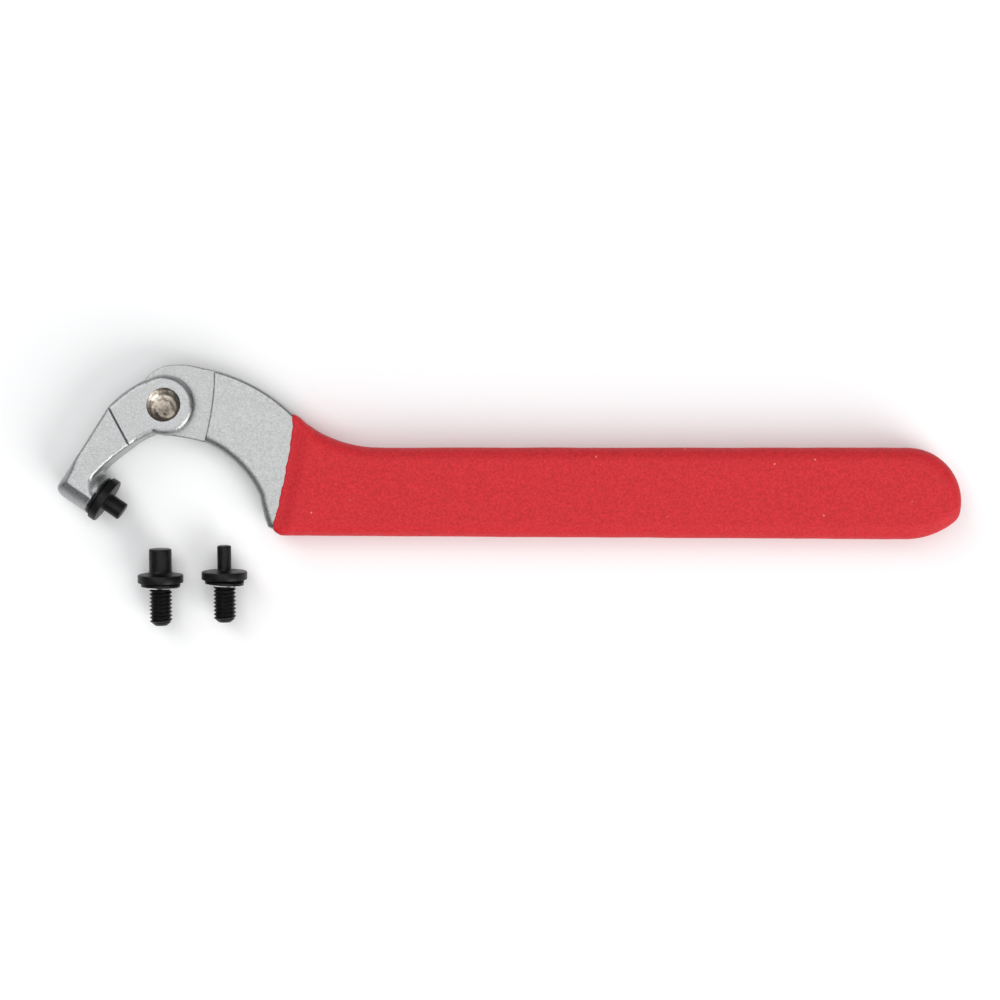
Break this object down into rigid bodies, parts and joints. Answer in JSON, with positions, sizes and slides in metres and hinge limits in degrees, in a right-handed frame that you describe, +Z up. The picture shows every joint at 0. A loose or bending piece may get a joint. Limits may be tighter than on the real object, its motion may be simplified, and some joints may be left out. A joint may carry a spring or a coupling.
{
  "type": "adjustable pin wrench",
  "caption": "Hook wrench with a hinged jaw and a screwed-in flanged pin, a dipped handle, and spare pins with split lock washers laid beside it.",
  "frame": {"origin": "middle of the whole part's footprint, on the plane that the tool lies on", "axes": "+X along the handle, from the hook towards the grip's free end; +Y from the throat towards the hook's back; +Z up, parallel to the jaw's pivot"},
  "size_m": [0.1622, 0.0469, 0.0084],
  "materials": {
    "blasted_steel": "bead-blasted satin plating with rounded edges",
    "red_dip": "matte dipped vinyl with a fine grain",
    "rivet_steel": "bare peened steel",
    "black_oxide": "satin black oxide"
  },
  "bodies": {
    "handle": {"handle_body": "blasted_steel", "dipped_grip": "red_dip"},
    "jaw": {"hook_jaw": "blasted_steel", "pivot_rivet": "rivet_steel"},
    "jaw_lock_washer": {"work_pin_lock_washer": "black_oxide"},
    "jaw_pin": {"work_pin": "black_oxide"},
    "large_spare": {"large_spare_pin": "black_oxide", "large_spare_lock_washer": "black_oxide"},
    "small_spare": {"small_spare_pin": "black_oxide", "small_spare_lock_washer": "black_oxide"}
  },
  "joints": [
    {"name": "jaw_pivot", "type": "hinge", "parent": "handle", "child": "jaw", "pos_m": [-0.062, 0.01615, 0.0042], "axis": [0, 0, 1], "range_deg": [-28, 30]},
    {"name": "work_pin_travel", "type": "slide", "parent": "jaw", "child": "jaw_lock_washer", "axis": [0.8241, -0.5664, 0], "range_m": [0, 0.007]},
    {"name": "work_pin_turn", "type": "hinge", "parent": "jaw_lock_washer", "child": "jaw_pin", "pos_m": [-0.0744, 0.00015, 0.0042], "axis": [0.8241, -0.5664, 0], "range_deg": [0, 3605]},
    {"name": "large_spare_lift", "type": "slide", "parent": "handle", "child": "large_spare", "axis": [0, 0, 1], "range_m": [0, 0.05]},
    {"name": "small_spare_lift", "type": "slide", "parent": "handle", "child": "small_spare", "axis": [0, 0, 1], "range_m": [0, 0.05]}
  ],
  "couplings": [
    {"joint": "work_pin_turn", "follows": "work_pin_travel", "rad_per_m": 8976}
  ]
}
